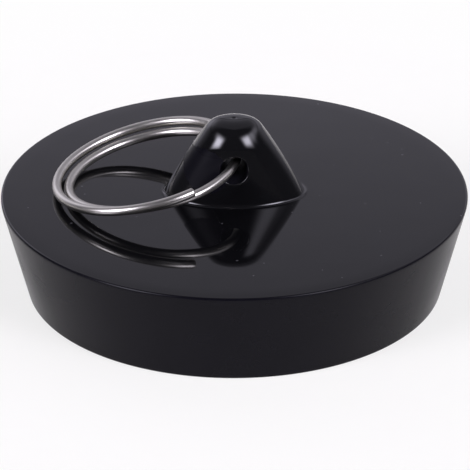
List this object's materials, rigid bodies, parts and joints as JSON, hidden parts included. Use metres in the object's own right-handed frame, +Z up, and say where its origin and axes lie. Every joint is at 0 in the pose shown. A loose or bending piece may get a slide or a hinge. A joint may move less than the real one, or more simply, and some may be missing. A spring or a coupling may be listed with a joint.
{
  "type": "drain stopper",
  "caption": "Tapered round black stopper for a sink or bath drain, hollow below, with an oval pull lug on top and a split wire ring that swings in the lug's hole.",
  "frame": {"origin": "middle of the disc's underside, on the surface that the stopper stands on", "axes": "+Z up along the disc's axis; X along the lug's length, with the ring lying towards -X; Y along the lug's hole"},
  "size_m": [0.048, 0.048, 0.0187],
  "materials": {
    "black_moulding": "gloss",
    "ring_steel": "polished"
  },
  "bodies": {
    "stopper": {"stopper_body": "black_moulding"},
    "ring": {"split_ring": "ring_steel"}
  },
  "joints": [
    {"name": "ring_swing", "type": "hinge", "parent": "stopper", "child": "ring", "pos_m": [0, 0, 0.0142], "axis": [0, 1, 0], "range_deg": [0, 197.5]}
  ]
}
